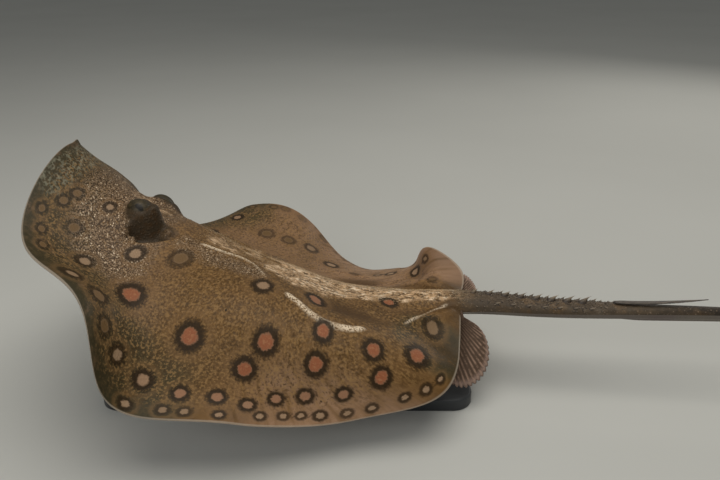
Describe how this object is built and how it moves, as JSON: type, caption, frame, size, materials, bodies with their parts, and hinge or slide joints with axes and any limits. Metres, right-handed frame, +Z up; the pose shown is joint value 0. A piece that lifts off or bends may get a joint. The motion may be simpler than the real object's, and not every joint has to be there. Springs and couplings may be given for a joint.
{
  "type": "freshwater stingray",
  "caption": "Life-size still model of an ocellate river stingray, head lifted and wings waved, on a flat base with rods.",
  "frame": {"origin": "centre of the bounding box, on the floor under the stand's base", "axes": "+X runs back from the head to the tip of the tail, +Y to the animal's right, +Z up"},
  "size_m": [0.6217, 0.3171, 0.1888],
  "materials": {
    "skin": "moist brown skin with ringed orange spots",
    "eye": "wet gloss",
    "sting": "satin dentine",
    "stand_paint": "satin dark grey",
    "rod_steel": "satin"
  },
  "bodies": {
    "root": {"snout": "skin", "head": "skin", "trunk": "skin", "pectoral_fin_left": "skin", "pectoral_fin_right": "skin", "pelvic_fin_left": "skin", "pelvic_fin_right": "skin", "tail_base": "skin", "tail_middle": "skin", "tail_tip": "skin", "eye_left": "eye", "eye_right": "eye", "sting": "sting", "stand_base": "stand_paint", "stand_rod_front": "rod_steel", "stand_rod_rear": "rod_steel"}
  },
  "joints": []
}
